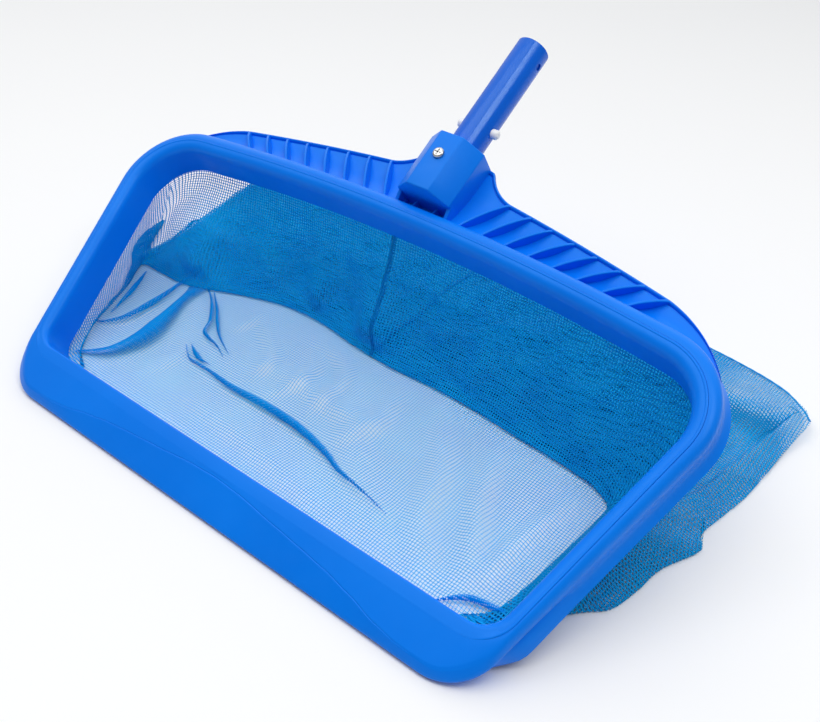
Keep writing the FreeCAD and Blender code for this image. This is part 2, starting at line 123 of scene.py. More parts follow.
def grid_faces(rows, cols, close_rows=False, close_cols=False, base=0):
    faces = []
    for i in range(rows if close_rows else rows - 1):
        for j in range(cols if close_cols else cols - 1):
            i2, j2 = (i + 1) % rows, (j + 1) % cols
            faces.append((base + i * cols + j, base + i2 * cols + j,
                          base + i2 * cols + j2, base + i * cols + j2))
    return faces


def add_piece(name, mesh, material):
    mesh.materials.append(material)
    piece = bpy.data.objects.new(name, mesh)
    scene.collection.objects.link(piece)
    return piece


class Shell:
    """Gathers vertices and faces of one piece."""

    def __init__(self):
        self.verts, self.faces = [], []

    def sweep(self, rings, closed=False):
        """Joins closed profiles into a tube; closed makes it a loop."""
        base, cols = len(self.verts), len(rings[0])
        for ring in rings:
            self.verts += ring
        self.faces += grid_faces(len(rings), cols, closed, True, base)
        if not closed:
            self.faces.append(tuple(range(base, base + cols)))
            last = base + (len(rings) - 1) * cols
            self.faces.append(tuple(range(last, last + cols)))
        return self

    def build(self, name, material, sharp, bevel=0.0):
        """Makes the piece; edges that turn by more than sharp degrees stay sharp or get the bevel, mm."""
        mesh = bpy.data.meshes.new(name)
        mesh.from_pydata([tuple(v) for v in self.verts], [], self.faces)
        bm = bmesh.new()
        bm.from_mesh(mesh)
        bmesh.ops.recalc_face_normals(bm, faces=bm.faces)
        limit = math.radians(sharp)
        if bevel:
            edges = [e for e in bm.edges if e.calc_face_angle(0) > limit]
            bmesh.ops.bevel(bm, geom=edges, offset=bevel * MM, segments=3,
                            profile=0.5, affect="EDGES", clamp_overlap=True)
        for face in bm.faces:
            face.smooth = True
        for edge in bm.edges:
            edge.smooth = edge.calc_face_angle(0) < limit
        bm.to_mesh(mesh)
        bm.free()
        return add_piece(name, mesh, material)


# ---- materials
class Nodes:
    """Short calls for a node tree."""

    def __init__(self, tree):
        self.tree = tree

    def put(self, socket, value):
        """Links another node's output, or sets a plain value."""
        if hasattr(value, "is_output"):
            self.tree.links.new(value, socket)
        else:
            socket.default_value = value

    def node(self, kind, inputs=(), **settings):
        made = self.tree.nodes.new(kind)
        for key, value in settings.items():
            setattr(made, key, value)
        for key, value in dict(inputs).items():
            self.put(made.inputs[key], value)
        return made

    def math(self, operation, a, b=0.0):
        return self.node("ShaderNodeMath", {0: a, 1: b}, operation=operation).outputs[0]

    def vector(self, operation, inputs):
        return self.node("ShaderNodeVectorMath", inputs, operation=operation).outputs


class Look(Nodes):
    """A Principled material."""

    def __init__(self, name, **values):
        self.mat = bpy.data.materials.new(name)
        self.mat.use_nodes = True
        super().__init__(self.mat.node_tree)
        self.shader = next(n for n in self.tree.nodes if n.type == "BSDF_PRINCIPLED")
        for key, value in values.items():
            self.shader.inputs[key.replace("_", " ")].default_value = value

    def noise(self, where, scale, detail=2.0):
        made = self.node("ShaderNodeTexNoise", {"Vector": where, "Scale": scale, "Detail": detail})
        return made.outputs["Fac"]

    def spread(self, value, low, high):
        """Value from 0.3..0.7 to low..high."""
        return self.node("ShaderNodeMapRange", {0: value, 1: 0.3, 2: 0.7, 3: low, 4: high}).outputs[0]

    def mix(self, share, a, b):
        """Colour a where share is 0 and b where it is 1."""
        made = self.node("ShaderNodeMix", {0: share}, data_type="RGBA")
        for index, colour in ((6, a), (7, b)):
            self.put(made.inputs[index], colour if hasattr(colour, "is_output") else (*colour, 1.0))
        return made.outputs[2]

    def feed(self, key, value):
        self.put(self.shader.inputs[key], value)

    def bump(self, height, strength, distance):
        made = self.node("ShaderNodeBump", {"Height": height, "Strength": strength, "Distance": distance})
        self.feed("Normal", made.outputs[0])


def moulded(name, dark, light, rough, grain=0.12, specular=0.32, tint=(0.4, 0.7, 1.0)):
    """Moulded plastic: faint flow marks in the colour, fine texture, uneven gloss."""
    look = Look(name, Specular_IOR_Level=specular, Specular_Tint=(*tint, 1.0))
    where = look.node("ShaderNodeTexCoord").outputs["Object"]
    cloud = look.noise(where, 9.0, 3.0)
    look.feed("Base Color", look.mix(look.spread(cloud, 0.0, 1.0), dark, light))
    scuff = look.noise(where, 70.0, 4.0)
    look.feed("Roughness", look.spread(scuff, rough - 0.05, rough + 0.06))
    look.bump(look.noise(where, 1400.0), grain, 0.0002)
    return look.mat


PITCH_MM = 2.4                # of the mesh
THREAD = 0.128                # half width of a thread, as a share of the pitch


def mesh_net(name, dark, light, thread=THREAD):
    """Open square mesh: threads along both directions of the sheet's own map."""
    look = Look(name, Roughness=0.6, Specular_IOR_Level=0.08)
    place = look.node("ShaderNodeUVMap", uv_map="weave").outputs[0]
    wander = look.node("ShaderNodeTexNoise", {"Vector": place, "Scale": 0.22, "Detail": 3.0})
    sway = look.vector("SUBTRACT", {0: wander.outputs["Color"], 1: (0.5, 0.5, 0.5)})[0]
    sway = look.vector("SCALE", {0: sway, "Scale": 0.5})[0]
    split = look.node("ShaderNodeSeparateXYZ", {0: look.vector("ADD", {0: place, 1: sway})[0]})
    cover = look.node("ShaderNodeAttribute", attribute_name="cover").outputs["Fac"]
    thread = look.math("MULTIPLY", cover, thread)
    across = look.math("PINGPONG", split.outputs[0], 0.5)
    along = look.math("PINGPONG", split.outputs[1], 0.5)
    warp = look.math("LESS_THAN", across, thread)
    weft = look.math("LESS_THAN", along, look.math("MULTIPLY", thread, 0.92))
    knot = look.math("LESS_THAN", look.math("ADD", across, along), look.math("MULTIPLY", thread, 1.9))
    solid = look.math("MAXIMUM", look.math("MAXIMUM", warp, weft), knot)
    look.feed("Alpha", solid)
    cloud = look.spread(look.noise(place, 0.05), 0.0, 1.0)
    colour = look.mix(cloud, dark, light)
    colour = look.mix(look.math("MULTIPLY", knot, 0.35), colour, [c * 0.6 for c in dark])
    # painted shade: where cover rises above 1 the thread colour is mixed towards a darker blue, for layered
    # net and folds
    painted_fold_shade = look.node("ShaderNodeMapRange", {0: cover, 1: 1.0, 2: 2.0}).outputs[0]
    colour = look.mix(painted_fold_shade, colour, [c * 0.62 for c in dark])
    look.feed("Base Color", colour)
    look.mat.surface_render_method = "DITHERED"
    return look.mat


def steel(name, colour, rough):
    look = Look(name, Metallic=1.0)
    where = look.node("ShaderNodeTexCoord").outputs["Object"]
    look.feed("Base Color", look.mix(look.noise(where, 300.0), [c * 0.85 for c in colour], colour))
    look.feed("Roughness", look.spread(look.noise(where, 900.0), rough - 0.06, rough + 0.08))
    look.bump(look.noise(where, 2500.0), 0.08, 0.0001)
    return look.mat


FRAME_BLUE = moulded("frame_plastic", (0.0, 0.190, 0.86), (0.0, 0.215, 0.93), 0.36)
STUB_BLUE = moulded("stub_plastic", (0.0, 0.115, 0.66), (0.0, 0.127, 0.71), 0.19, 0.04, 0.45,
                    (0.6, 0.85, 1.0))
BUTTON_WHITE = moulded("button_plastic", (0.93, 0.93, 0.93), (0.96, 0.96, 0.96), 0.30, 0.04, 0.4,
                       (1, 1, 1))
BEAD_BLUE = moulded("bead_plastic", (0.0, 0.15, 0.60), (0.0, 0.18, 0.68), 0.45)
SCREW = steel("screw_steel", (0.60, 0.60, 0.59), 0.28)
SPRING = steel("spring_steel", (0.62, 0.63, 0.65), 0.30)
NET = mesh_net("net_mesh", (0.0, 0.38, 0.90), (0.0, 0.46, 0.96))
# a lighter copy of the same net, for where it lies on the floor: painted light
NET_LYING_LIT = mesh_net("net_mesh_lying", (0.0, 0.45, 0.90), (0.0, 0.51, 0.93), 0.066)
# a darker copy of the same net for pleats and laps: its darker colour is painted shade, its closer threads
# the extra layers
NET_FOLDED_SHADED = mesh_net("net_mesh_folded", (0.0, 0.30, 0.88), (0.0, 0.37, 0.93), 0.33)
BINDING = mesh_net("net_binding", (0.0, 0.24, 0.70), (0.0, 0.30, 0.78), 0.20)
TAPE = moulded("binding_tape", (0.0, 0.24, 0.66), (0.01, 0.30, 0.74), 0.6, 0.5, 0.2)


# ---- outlines of the rim
SEGMENTS = (44, 16, 34, 20, 56)   # samples: half blade, corner, side, corner, half top


def arc(centre, r, start, end, count, extra=0):
    """Points of an arc from one angle to another, the last one only with extra."""
    angles = (lerp(start, end, k / count) for k in range(count + extra))
    return [centre + Vector((math.cos(a), math.sin(a))) * r for a in angles]


def half_outline(half_low, half_high, low, high, bow, r_low, r_high):
    """Right half of a rounded outline, from the blade's middle to the top's middle."""
    side = Vector((half_high - half_low, high - low)).normalized()
    inward = Vector((-side.y, side.x))
    start = Vector((half_low, low))
    c1 = Vector((half_low - r_low * (1 - side.x) / side.y, low + r_low))
    top_r = (half_high ** 2 + bow ** 2) / (2 * bow)
    hub = Vector((0.0, high + bow - top_r))
    base = start + inward * r_high
    reach = base - hub
    b = reach.dot(side)
    c = reach.dot(reach) - (top_r - r_high) ** 2
    c2 = base + side * (-b + math.sqrt(b * b - c))
    facing = math.atan2(-inward.y, -inward.x)
    up = (c2 - hub).normalized()
    top_angle = math.atan2(up.y, up.x)
    pts = [Vector((c1.x * k / SEGMENTS[0], low)) for k in range(SEGMENTS[0])]
    pts += arc(c1, r_low, -math.pi / 2, facing, SEGMENTS[1])
    p, q = c1 - inward * r_low, c2 - inward * r_high
    pts += [p.lerp(q, k / SEGMENTS[2]) for k in range(SEGMENTS[2])]
    pts += arc(c2, r_high, facing, top_angle, SEGMENTS[3])
    return pts + arc(hub, top_r, top_angle, math.pi / 2, SEGMENTS[4], 1)


def mouth(offset):
    return half_outline(MOUTH_LOW + offset * (1 - SLOPE), MOUTH_HIGH + offset * (1 + SLOPE),
                        MOUTH_V0 - offset, MOUTH_V1 + offset, BOW, 20.0 + offset, 41.0 + offset)


CREST_HALF = mouth(CREST)
OUTER_HALF = half_outline(**OUTER)
HALF_COUNT = len(CREST_HALF)
CORNER_1 = SEGMENTS[0]
CORNER_2 = SEGMENTS[0] + SEGMENTS[1]
SIDE_END = CORNER_2 + SEGMENTS[2]
TOP_START = SIDE_END + SEGMENTS[3]


OUTER_STEPS = [b - a for a, b in zip(OUTER_HALF[:1] + OUTER_HALF[:-1], OUTER_HALF[1:] + OUTER_HALF[-1:])]
OUTER_NORMALS = [Vector((step.y, -step.x)).normalized() for step in OUTER_STEPS]


def blade_share(i):
    """1 along the blade, 0 along the sides and the top."""
    return 1 - smooth(CORNER_1 - 4, CORNER_2 + 5, i)


def crease_share(i):
    """Where the blade's crease runs between the crest (0) and the outer edge (1)."""
    u = CREST_HALF[i].x
    if i < CORNER_1:
        keys = ((0, 0.10), (23, 0.13), (64, 0.26), (87, 0.33), (113, 0.415), (139, 0.545), (165, 0.72),
                (187, 0.80), (215, 0.80))
        for (u0, a0), (u1, a1) in zip(keys, keys[1:]):
            if u <= u1:
                return lerp(a0, a1, smooth(u0, u1, u) * 0.35 + 0.65 * (u - u0) / (u1 - u0))
        return keys[-1][1]
    return 0.78 * (1 - smooth(CORNER_1 + 2, CORNER_2 + 4, i)) + 0.02


def ring_rings():
    """Inner half of the rim bead with its deep inner wall."""
    half = []
    base, out = mouth(0.0), mouth(CREST)
    for i in range(HALF_COUNT):
        blade = blade_share(i)
        r = lerp(7.5, 1.6, blade)
        lift = 0.45 * (1 - smooth(0.15, 0.75, blade))
        prof = [(0.0, -INNER_DEPTH), (0.0, -26.0), (0.0, -20.0), (0.0, -14.0)]
        for k in range(9):
            a = k / 8 * math.pi / 2
            prof.append((r * (1 - math.cos(a)), -r * (1 - math.sin(a))))
        prof += [(8.0, 0.0), (8.35, lift * 0.8), (8.8, lift), (9.3, lift), (9.75, lift * 0.6),
                 (9.94 + 0.06 * blade, -0.1 * (1 - blade)), (9.94 + 0.06 * blade, -0.8), (9.94, -6.0),
                 (4.0, -6.0), (4.0, -INNER_DEPTH)]
        ring = []
        for a, w in prof:
            p = base[i].lerp(out[i], a / CREST)
            ring.append((p, max(w, ground_w(p.y) + 0.15)))
        half.append(ring)
    return half


def blade_front(share, crease):
    """Height w of the blade's face between crest and outer edge, with its crease."""
    tip, at_crease = BLADE_TIP, BLADE_TIP * crease * 0.42
    if share < crease:
        return at_crease * share / crease
    return lerp(at_crease, tip, (share - crease) / (1 - crease))


def wall_rows(i):
    """Wall below the face's edge: distance out from the edge and height w, down, under and back up.
    A thin lip along the blade, an overhang round the corner, a flared skirt up the side."""
    flare = 5.5 * (1 - smooth(SIDE_END + 2, TOP_START, i))
    out = 6.3 * smooth(22, 47, OUTER_HALF[i].y) - 4.8 * (1 - smooth(18, 40, OUTER_HALF[i].y))
    blade = ((0, -7.6), (-0.5, -8.0), (-1.6, -8.3), (-2.0, -8.5), (-3.2, -8.8), (-3.8, -9.2),
             (-4.2, -9.8), (-4.5, -9.2), (-12.0, -8.6))
    corner = ((0, -7.6), (-0.6, -8.2), (-2.2, -8.5), (lerp(-2.6, out, 0.3), -10.5),
              (lerp(-2.6, out, 0.8), -15.5),
              (out, -20.3), (out - 2.2, -20.5), (min(out, 0) - 4.6, -15.0), (-7.0, -8.6))
    side = ((0, -9.0), (0, -11.0), (0, -13.5), (0.22 * flare, -15.5), (0.6 * flare, -18.0), (flare, -20.3),
            (0.9 * flare - 2.4, -20.5), (0.1 * flare - 3.4, -16.0), (-3.6, -6.0))
    turned = smooth(CORNER_1 - 3, CORNER_1 + 5, i)
    risen = smooth(CORNER_2 + 1, CORNER_2 + 15, i)
    return [(lerp(b[0], lerp(c[0], s[0], risen), turned), lerp(b[1], lerp(c[1], s[1], risen), turned))
            for b, c, s in zip(blade, corner, side)]


def frame_rings():
    """Outer half of the bead, outer wall with a flared skirt, and the blade."""
    half = []
    for i in range(HALF_COUNT):
        blade, crease = blade_share(i), crease_share(i)
        inner, outer, normal = CREST_HALF[i], OUTER_HALF[i], OUTER_NORMALS[i]
        width = (outer - inner).length
        gap = 0.10 / width
        side = [(0.0, -6.0), (0.0, -0.7), (gap, -0.12)]
        steps = 13
        for k in range(steps):
            a = lerp(0.10, 1.0, k / (steps - 1)) * math.pi / 2
            side.append((math.sin(a) * (1 - gap) + gap * (1 - math.sin(a)), -7.5 * (1 - math.cos(a))))
        line = 0.45 / width
        shares = [0.04, 0.30 * crease, 0.62 * crease, crease - 2.4 * line, crease - line, crease,
                  crease + line, crease + 2.4 * line, lerp(crease, 0.95, 0.35), lerp(crease, 0.95, 0.7),
                  0.95, 0.985, 1.0]
        low = [(0.0, -6.0), (0.0, -1.0), (0.0, -0.02)]
        for k, s in enumerate(shares):
            w = blade_front(s, crease)
            w -= 0.30 if k == 5 else 0.0
            w -= (0.0, 0.15, 0.7)[k - 10] if k >= 10 else 0.0
            low.append((s, w))
        ring = [(inner.lerp(outer, lerp(a0, a1, blade)), lerp(w0, w1, blade))
                for (a0, w0), (a1, w1) in zip(side, low)]
        ring += [(outer + normal * off, w) for off, w in wall_rows(i)]
        half.append([(p, max(w, ground_w(p.y) + 0.1)) for p, w in ring])
    return half


def whole_loop(half):
    loop = [[rim(p.x, p.y, w) for p, w in ring] for ring in half]
    loop += [[rim(-p.x, p.y, w) for p, w in ring] for ring in reversed(half[1:-1])]
    return loop


# ---- gusset plate, fins, neck
def arc_through(a, b, c, count):
    """Points on the circle through three points, without the last one."""
    a, b, c = Vector(a), Vector(b), Vector(c)
    ab, bc = b - a, c - b
    mid1, mid2 = (a + b) / 2, (b + c) / 2
    det = ab.x * bc.y - ab.y * bc.x
    t = ((mid2 - mid1).dot(bc)) / det
    centre = mid1 + Vector((-ab.y, ab.x)) * t
    r = (a - centre).length
    angles = np.unwrap([math.atan2(p.y - centre.y, p.x - centre.x) for p in (a, b, c)])
    return arc(centre, r, angles[0], angles[2], count)


def plate_edge():
    pts = [Vector((24.0, 341.5))]
    pts += arc_through((30, 340), (41, 327.5), (57, 319.5), 14)
    pts += arc_through((57, 319.5), (132, 308.5), (206, 295), 34)
    pts += arc_through((206, 295), (250, 270), (276, 232), 26)
    return pts + [Vector((276.0, 232.0)), Vector((283.0, 214.0))]


def top_rail_v(u):
    return OUTER["high"] + BOW * (1 - (u / OUTER["half_high"]) ** 2)


def plate_edge_v(u):
    return lerp(319.5, 295.0, (u - 57.0) / (206.0 - 57.0))


PLATE_THICK, INTO_RIM, COVE_HIGH = 3.0, 2.0, 8.5
# a fine groove and the round lip: distance in from the plate's edge, height over its face
LIP = ((3.7, -0.75), (3.2, -0.75), (2.85, 0.5), (2.3, 1.35), (1.5, 1.65), (0.7, 1.3), (0.15, 0.4),
       (0.0, -0.8), (0.0, -2.4), (0.7, -PLATE_THICK))


def add_plate(shell, side):
    """Half of the gusset plate: a cove off the rim wall, a fine groove and a round lip."""
    count = 110
    edge = spaced(plate_edge(), count)
    root = [p for p in reversed(OUTER_HALF) if p.x > 20.0 and p.y > 205.0]
    rings = []
    for near, far in zip(spaced(root, count), edge):
        near, far = Vector(near), Vector(far)
        inward = near - far
        length = inward.length
        inward = inward / max(length, 1e-6)
        length += INTO_RIM
        scale = min(1.0, length / 26.0)
        prof = []
        for k in range(12):
            t = k / 11
            d = lerp(length, 4.2 * scale, t)
            rise = max(0.0, 1 - (length - d) / (0.62 * length)) ** 2.3
            prof.append((d, PLATE_W + COVE_HIGH * scale * rise))
        prof += [(d * scale, PLATE_W + w) for d, w in LIP]
        prof += [(length * t, PLATE_W - PLATE_THICK) for t in (0.5, 1)]
        rings.append([rim(side * (far.x + inward.x * d), far.y + inward.y * d, w) for d, w in prof])
    shell.sweep(rings)


def add_wall(shell, start, end, heights, foot, thick):
    """Thin upright wall between two rim points; heights are its top edge along it."""
    along = (end - start).normalized()
    over = Vector((-along.y, along.x)) * thick / 2
    rings = []
    for k, top in enumerate(heights):
        p = start.lerp(end, k / (len(heights) - 1))
        soft = min(0.45, thick * 0.3)
        rings.append([rim(p.x + over.x * s, p.y + over.y * s, w)
                      for s, w in ((-1.15, foot), (-1.0, top - soft), (-0.55, top), (0.55, top),
                                   (1.0, top - soft), (1.15, foot))])
    shell.sweep(rings)


FIN_COUNT, FIN_FIRST, FIN_STEP, FIN_LEAN = 8, 35.8, 21.0, 23.0


def add_fins(shell, side):
    for index in range(FIN_COUNT):
        root_u = FIN_FIRST + index * FIN_STEP
        tip_u = root_u + FIN_LEAN
        heights = [-8.0 - 8.3 * t ** 2.3 - smooth(0.93, 1.0, t) for t in (k / 16 for k in range(17))]
        start = Vector((side * root_u, top_rail_v(root_u) - 1.5))
        end = Vector((side * tip_u, plate_edge_v(tip_u) - 1.3))
        add_wall(shell, start, end, heights, PLATE_W - 1.5, 2.0)


# cheeks and ribs of the neck: distance from the middle, height w at both ends, its curve, reach past the
# socket's front, thickness
NECK_WALLS = ((SOCKET_FLAT - 1.7, -8.0, -1.5, 1.0, 4, 3.0), (9.9, -9.5, -12.5, 1.6, 2, 1.6))


def add_neck(shell):
    rail = top_rail_v(0) - 1.5
    for side in (-1, 1):
        for u, low, high, curve, reach, thick in NECK_WALLS:
            start, end = Vector((side * u, rail)), Vector((side * u, SOCKET_FRONT + reach))
            heights = [lerp(low, high, (k / 4) ** curve) for k in range(5)]
            add_wall(shell, start, end, heights, PLATE_W - 1.0, thick)


def add_saddle(shell):
    """Floor of the neck between the two halves of the plate."""
    top = PLATE_W - 0.2
    section = ((-30, top), (-10, top), (10, top), (30, top), (30, top - 2.6), (-30, top - 2.6))
    stations = [lerp(top_rail_v(0) - 2, SOCKET_FRONT + 30, k / 13) for k in range(14)]
    shell.sweep([[rim(u, v, w) for u, w in section] for v in stations])


# ---- socket
def socket_piece():
    corner = SOCKET_FLAT / math.cos(math.pi / 8)
    stations = ((SOCKET_FRONT, 0.985), (SOCKET_FRONT + 12, 0.99), (SOCKET_FRONT + 26, 0.995),
                (SOCKET_BACK, 1.0))
    angles = [math.pi / 8 + k * math.pi / 4 for k in range(8)]
    rings = [[on_stub(corner * grow * math.cos(a), v, corner * grow * math.sin(a)) for a in angles]
             for v, grow in stations]
    return Shell().sweep(rings).build("socket", FRAME_BLUE, sharp=30.0, bevel=0.9)


# leaf spring: v at its bend and at both ends of the flat behind a button
SPRING_BEND_V, SPRING_LEG_V, SPRING_END_V = 322.0, 362.0, 370.0
# how far out its face is at the bend and at the flat, its thickness, half its width
SPRING_BEND_U, SPRING_LEG_U, SPRING_THICK, SPRING_HALF = 1.5, 9.0, 0.9, 4.0


def spring_arm(side, word):
    """One leg of the leaf spring: half of its bend, the slope and the flat behind the button."""
    bend_in, bend_in_v = SPRING_BEND_U - SPRING_THICK / 2, SPRING_BEND_V + 2 * SPRING_THICK
    leg_in = SPRING_LEG_U - SPRING_THICK
    rows = [(0.0, SPRING_BEND_V, 0.0, bend_in_v)]
    for k in range(21):
        t = k / 20
        rows.append((lerp(SPRING_BEND_U, SPRING_LEG_U, t), lerp(SPRING_BEND_V, SPRING_LEG_V, t),
                     lerp(bend_in, leg_in, t), lerp(bend_in_v, SPRING_LEG_V, t)))
    rows += [(SPRING_LEG_U, v, leg_in, v) for v in np.linspace(SPRING_LEG_V, SPRING_END_V, 5)[1:]]
    rings = [[on_stub(side * u, v, h) for u, v, h in ((u1, v1, -SPRING_HALF), (u1, v1, SPRING_HALF),
                                                      (u2, v2, SPRING_HALF), (u2, v2, -SPRING_HALF))]
             for u1, v1, u2, v2 in rows]
    arm = Shell().sweep(rings).build("spring_arm_" + word, SPRING, sharp=30.0)
    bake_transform(arm)
    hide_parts("button_spring")


spring_arm(1, "right")
spring_arm(-1, "left")
frame_shell = Shell().sweep(whole_loop(frame_rings()), closed=True)
for side in (1, -1):
    add_plate(frame_shell, side)
    add_fins(frame_shell, side)
add_neck(frame_shell)
add_saddle(frame_shell)
outer_frame = frame_shell.build("rim_outer_frame", FRAME_BLUE, sharp=38.0)
ring_shell = Shell().sweep(whole_loop(ring_rings()), closed=True)
inner_ring = ring_shell.build("rim_inner_ring", FRAME_BLUE, sharp=38.0)
socket = socket_piece()

# ---- the net: control lines, mm in the part's frame
# place along the rim (0-1 half blade, 1-2 corner, 2-3 side, 3-4 corner, 4-5 half top), foot of the
# hanging net on the floor (x, y), ridge of the part that lies behind it (x, y, z), outer edge (x, y and z
# where it isn't EDGE_Z)
EDGE_Z = 0.8
RIGHT = (
    (0.90, (196, -152), (199, -152, 1.6), (202, -153)),
    (1.50, (206, -143), (218, -139, 3), (230, -136)),
    (1.80, (211, -134), (228, -124, 4), (245, -113)),
    (2.05, (213, -124), (234, -112, 5), (255, -101)),
    (2.35, (216, -102), (242, -94, 7), (267, -88)),
    (2.65, (218, -76), (246, -68, 9), (273, -64)),
    (2.85, (220, -52), (250, -46, 10), (277, -38)),
    (2.98, (221, -38), (256, -26, 9), (290, -7)),
    (3.03, (221, -33), (258, -14, 8), (284, 4)),
    (3.15, (222, -24), (262, 12, 8), (288, 30)),
    (3.30, (222, -18), (268, 40, 9), (293, 58)),
    (3.60, (219, -12), (281, 104, 12), (297, 120, 4)),
    (3.72, (214, -8.5), (288, 146, 12.5), (300.5, 144, 8.5)),
    (3.75, (213, -8), (290, 150, 12), (301.5, 152, 10)),
    (3.78, (212, -7.5), (286, 149, 13), (298, 158, 8.5)),
    (3.88, (206, -5), (270, 147, 16), (290, 171, 4)),
    (4.00, (196, -2), (252, 145, 17), (267, 189, 0.9)),
    (4.20, (165, 2), (216, 140, 14), (222, 199)),
    (4.40, (125, 5), (165, 128, 9), (168, 204)),
    (4.60, (85, 9), (108, 116, 8), (112, 206)),
    (4.80, (42, 10), (52, 110, 8), (55, 206)),
    (5.00, (0, 8), (0, 108, 8), (0, 206)),
)
LEFT = (
    (0.90, (-198, -152), (-200, -152, 1.4), (-203, -153)),
    (1.50, (-216, -142), (-219, -140, 2.4), (-223, -138)),
    (2.00, (-231, -125), (-234, -121, 3), (-238, -117)),
    (2.20, (-243, -106), (-247, -101, 3.4), (-251, -96)),
    (2.50, (-254, -80), (-260, -70, 4), (-266, -60)),
    (2.80, (-268, -50), (-282, -36, 5), (-296, -22)),
    (2.95, (-276, -38), (-298, -22, 6), (-316, -6)),
    (3.05, (-281, -30), (-305, -8, 7), (-328, 13)),
    (3.20, (-283, -26), (-308, 8, 7), (-333, 46)),
    (3.35, (-284, -23), (-292, -12, 4), (-301, 2)),
    (3.45, (-283, -22), (-293, 20, 5), (-304, 60)),
    (3.60, (-278, -20), (-300, 70, 6), (-319, 148, 1)),
    (3.75, (-262, -20), (-288, 80, 7), (-309, 170)),
    (4.00, (-222, -18), (-250, 90, 8), (-272, 188)),
    (4.20, (-175, 1), (-200, 98, 8), (-222, 199)),
    (4.40, (-130, 15), (-150, 106, 8), (-168, 204)),
    (4.60, (-85, 17), (-98, 108, 8), (-110, 206)),
    (4.80, (-42, 11), (-50, 108, 8), (-55, 206)),
    (5.00, (0, 8), (0, 108, 8), (0, 206)),
)
UPPER_FROM = 3.40             # place along the rim where the side nets end
NET_THICK = 0.0005


def hermite(xs, ys, x):
    """Smooth curve through keyed vectors."""
    k = int(np.clip(np.searchsorted(xs, x) - 1, 0, len(xs) - 2))
    step = xs[k + 1] - xs[k]
    t = (x - xs[k]) / step

    def tangent(i):
        a, b = max(i - 1, 0), min(i + 1, len(xs) - 1)
        return (ys[b] - ys[a]) / (xs[b] - xs[a])

    m0, m1 = tangent(k) * step, tangent(k + 1) * step
    t2, t3 = t * t, t * t * t
    start, end = 2 * t3 - 3 * t2 + 1, 3 * t2 - 2 * t3
    return ys[k] * start + m0 * (t3 - 2 * t2 + t) + ys[k + 1] * end + m1 * (t3 - t2)


FOOT_HALF = mouth(4.6)


def rim_place(place, side, offset_rows):
    """Points of the net's edge at a place along the rim: in the groove and below the wall."""
    starts = (0, CORNER_1, CORNER_2, SIDE_END, TOP_START, HALF_COUNT - 1)
    k = min(int(place), 4)
    at = lerp(starts[k], starts[k + 1], place - k)
    i = min(int(at), HALF_COUNT - 2)
    p = FOOT_HALF[i].lerp(FOOT_HALF[i + 1], at - i)
    return [np.array(rim(side * p.x, p.y, max(w, ground_w(p.y) + 1.2))) / MM for w in offset_rows]


def wobble(x, y, z, scale, seed):
    return noise.noise(Vector((x * scale + seed, y * scale - seed, z * scale)))


def edge_keys(keys):
    return np.array([(*k[3], EDGE_Z)[:3] for k in keys], float)


def net_column(place, side, keys, rows):
    """One line of the hanging net from the rim to the bag's outer edge."""
    xs = np.array([k[0] for k in keys])
    foot = hermite(xs, np.array([(*k[1], 1.9) for k in keys], float), place)
    ridge = hermite(xs, np.array([k[2] for k in keys], float), place)
    edge = hermite(xs, edge_keys(keys), place)
    groove, rail = rim_place(place, side, (-22.0, -INNER_DEPTH - 0.6))
    drop = rail - foot
    high = max(drop[2], 0.0) / 100.0
    sway = wobble(foot[0], foot[1], 0, 0.021, 3.1) * 13 * high
    belly = wobble(foot[0], foot[1], 5, 0.034, 7.7) * 8 * high
    upper = foot + drop * 0.66 + np.array([0, 3.0 * high + sway * 0.6, -4.0 * high])
    lower = foot + drop * 0.33 + np.array([0, 1.0 * high + sway + belly, -5.0 * high])
    near_foot = foot + drop * 0.05 + np.array([0, 1.5 * high, 1.0 * high])
    behind = foot + (ridge - foot) * 0.06
    behind[2] = 2.6
    half_way = foot + (ridge - foot) * 0.5
    half_way[2] = 2.4 + ridge[2] * 0.22
    before = ridge + (foot - ridge) * 0.11
    before[2] = 2.0 + ridge[2] * 0.42
    down = ridge + (edge - ridge) * 0.5
    down[2] = 1.6 + lerp(ridge[2], edge[2], 0.5) * 0.75
    line = [groove, rail, upper, lower, near_foot, foot, behind, half_way, before, ridge, down, edge]
    t_keys = np.array([0.0, 0.03, 0.15, 0.27, 0.37, 0.41, 0.45, 0.58, 0.70, 0.76, 0.88, 1.0])
    return [hermite(t_keys, np.array(line), t) for t in rows]


ROWS = [*np.linspace(0.0, 0.03, 3), *np.linspace(0.05, 0.35, 26), *np.linspace(0.36, 0.46, 14),
        *np.linspace(0.48, 1.0, 44)]


def closeness_and_painted_shade(place, side, t):
    """How close the threads look, against a single layer: more where the net lies double. Above 1 it also
    darkens the thread colour in the material: painted shade of the layered net and its folds.
    """
    if side < 0:
        flap = smooth(2.72, 2.85, place) * (1 - smooth(3.30, 3.38, place))
        return 1 + 1.3 * flap * smooth(0.40, 0.43, t)
    tail = smooth(3.62, 3.72, place) * (1 - smooth(4.10, 4.30, place))
    # every term that lifts this above 1 also darkens the thread colour as painted shade; the band darkens
    # the tail's ridge most
    band = 1.5 * math.exp(-((t - 0.70) / 0.020) ** 2) - 0.68 * smooth(0.735, 0.76, t)
    doubled = 0.5 * smooth(0.44, 0.5, t) * (1 - smooth(2.96, 3.03, place))
    near_foot = 0.45 * smooth(0.40, 0.46, t) * (1 - smooth(0.50, 0.66, t))
    hanging = 0.4 * smooth(4.7, 3.6, place) * (1 - smooth(0.40, 0.44, t))
    return 1 + tail * band + doubled + near_foot + hanging


STRETCHES = ((0.9, 2.0, 16), (2.0, 3.0, 56), (3.0, 4.0, 64), (4.0, 5.0, 76))     # places from, to; columns


